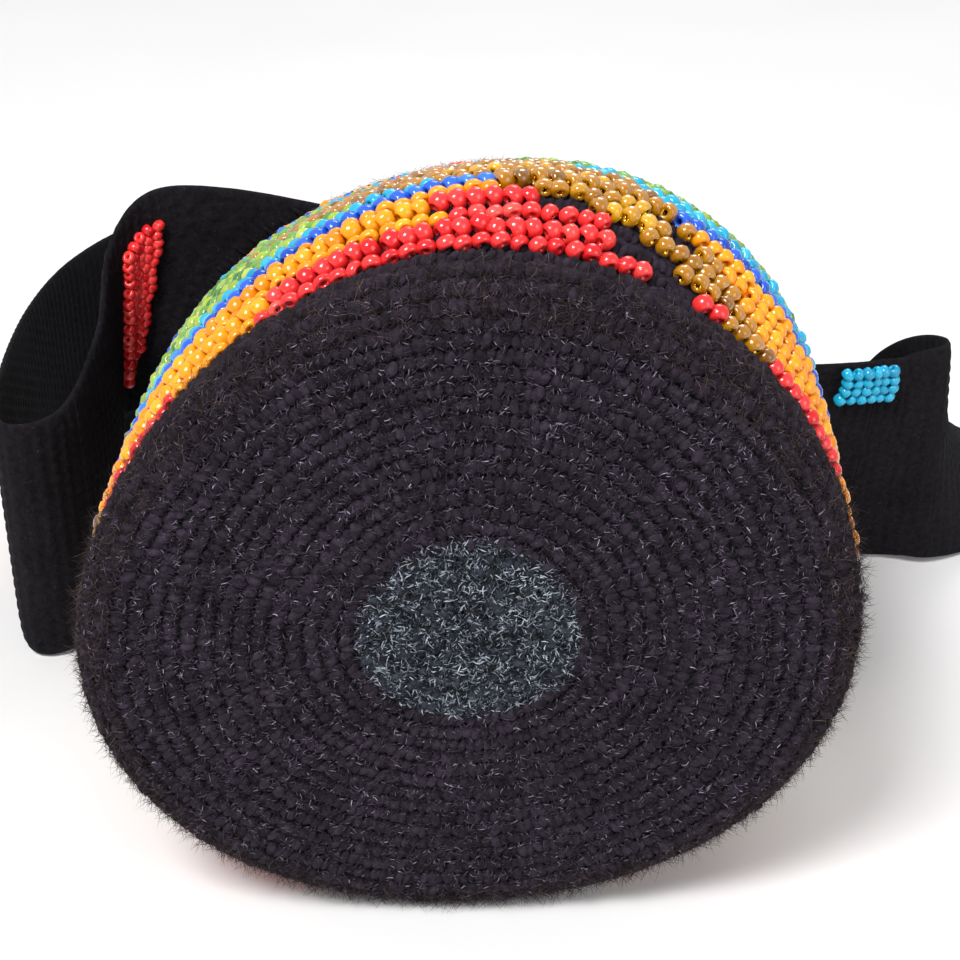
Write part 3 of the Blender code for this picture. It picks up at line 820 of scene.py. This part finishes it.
def make_bars():
    """Beaded bars on the strap, each filling the place of its CAD skin."""
    bars = (
        ("bar_red_left", "red", 2.25, 0.0100, 0.30, 0.87),
        ("bar_turquoise_right", "turquoise", 21.42, 0.0120, 0.83, 0.985),
        ("bar_orange_span", "orange", 8.4, 0.0100, 0.15, 0.86),
        ("bar_red_span", "red", 9.4, 0.0100, 0.15, 0.86),
        ("bar_lime_span", "lime", 10.5, 0.0100, 0.15, 0.86),
        ("bar_blue_span", "blue", 12.7, 0.0100, 0.15, 0.86),
        ("bar_gold_span", "gold", 14.0, 0.0100, 0.15, 0.86),
        ("bar_turquoise_span", "turquoise", 15.3, 0.0100, 0.15, 0.86),
    )
    position, run = route_length(0.0, STRAP_END)
    for name, colour, middle, half_width, low, high in bars:
        centre = np.interp(middle, position, run)
        across_count = round(2 * half_width / BAR_COLUMN)
        up_count = round((high - low) * STRAP_WIDTH / BAR_ROW)
        along_run = centre + (np.arange(across_count) + 0.5 - across_count / 2) * BAR_COLUMN
        share = low + (np.arange(up_count) + 0.5) / up_count * (high - low)
        grid = np.meshgrid(along_run, share, indexing="ij")
        grid_run, grid_share = (part.ravel() for part in grid)
        grid_run = grid_run + 0.0006 * np.sin(grid_share * 40)
        place = np.interp(grid_run, run, position)
        height = STRAP_THICK / 2 + 0.0013
        points, along, up, out = strap_surface(place, 2 * grid_share - 1, height)
        order = np.round((grid_run - centre) / BAR_COLUMN + across_count / 2 - 0.5).astype(int)
        tilt = np.where(order % 2 == 0, 0.7, -0.7)
        shape = bead_shape(points, along, up, out, tilt, BAR_BEAD_RADIUS)
        piece = bead_piece(name + "_beads", colour, shape)
        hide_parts(name)


def make_seams():
    """Whip stitches that sew the strap's two ends to the bag."""
    for name, end, side in (("seam_left", cut_left, 1), ("seam_right", cut_right, -1)):
        across = np.linspace(-0.9, 0.9, 19)
        point, along, up, out = strap_surface(end(across) + side * 0.12, across, STRAP_THICK / 2)
        lean = along * 0.85 + up * 0.5
        lean /= np.linalg.norm(lean, axis=1, keepdims=True)
        axes = np.stack([np.cross(out, lean), lean, out], 1)
        sizes = np.tile((0.0008, 0.0034, 0.0010), (len(across), 1))
        stitches = copies(BALL, point, axes, sizes)
        piece = make_piece(name + "_stitches", *stitches, [BLACK], "bag", "thread")
        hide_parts(name)


# ---------------------------------------------------- floor, light, camera

CAMERA_DISTANCE = 0.414                # from the middle of the base
CAMERA_RISE = radians(33)              # how steeply it looks down on it
FOCAL = 1755.0 / 960.0                 # in widths of the picture
AIM_SIDE, AIM_UP = 12.0 / 960.0, 152.0 / 960.0           # from the base's middle to the aim
SENSOR = 36.0


def make_stage():
    """A plain pale floor."""
    material, tree, shader = node_material("pale_floor")
    where = tree.nodes.new("ShaderNodeTexCoord").outputs["Object"]
    noise = add_node(tree, "ShaderNodeTexNoise", Scale=3.0, Detail=2.0)
    tree.links.new(where, noise.inputs["Vector"])
    shades = (0.3, (0.74, 0.73, 0.72)), (0.7, (0.78, 0.77, 0.76))
    pale = ramp(tree, noise.outputs["Fac"], shades)
    tree.links.new(pale, shader.inputs["Base Color"])
    shader.inputs["Roughness"].default_value = 0.7
    bpy.ops.mesh.primitive_plane_add(size=12.0, location=(0, 0, -0.0002))
    floor = bpy.context.object
    floor.name = "floor"
    floor.data.materials.append(material)


def make_light():
    """A pale sky, and three soft lamps that face the bag."""
    world = bpy.data.worlds.new("studio")
    bpy.context.scene.world = world
    world.use_nodes = True
    sky = world.node_tree.nodes["Background"]
    sky.inputs["Color"].default_value = (0.93, 0.95, 1.0, 1)
    sky.inputs["Strength"].default_value = 0.55
    for name, place, size, power in (
            ("key", (-0.6, -0.9, 1.5), 0.6, 34.0), ("fill", (1.2, -1.3, 0.8), 1.0, 10.0),
            ("back", (0.3, 1.2, 1.5), 0.8, 11.0)):
        light = bpy.data.lights.new(name, "AREA")
        light.size = size
        light.energy = power
        lamp = bpy.data.objects.new(name, light)
        lamp.location = place
        aim = Vector((0, 0, 0.08)) - Vector(place)
        lamp.rotation_euler = aim.to_track_quat("-Z", "Y").to_euler()
        bpy.context.scene.collection.objects.link(lamp)


def make_view():
    """Plain colours, with no film curve."""
    bpy.context.scene.view_settings.view_transform = "Standard"


def make_camera():
    """A camera in front of the base and above it."""
    target = Vector((*SHIFT[:2], BASE_MIDDLE))
    place = target + CAMERA_DISTANCE * Vector((0, -cos(CAMERA_RISE), sin(CAMERA_RISE)))
    pitch = CAMERA_RISE - atan2(AIM_UP, FOCAL)
    yaw = atan2(AIM_SIDE, FOCAL)
    heading = Vector((sin(yaw) * cos(pitch), cos(yaw) * cos(pitch), -sin(pitch)))
    data = bpy.data.cameras.new("camera")
    data.sensor_width = SENSOR
    data.lens = SENSOR * FOCAL * cos(atan2(AIM_UP, FOCAL))
    data.clip_start = 0.01
    camera = bpy.data.objects.new("camera", data)
    camera.location = place
    camera.rotation_euler = heading.to_track_quat("-Z", "Y").to_euler()
    bpy.context.scene.collection.objects.link(camera)
    bpy.context.scene.camera = camera


make_camera()
make_view()
make_base()
make_wall()
make_beads()
make_strap()
make_bars()
make_seams()
make_fuzz()
make_stage()
make_light()
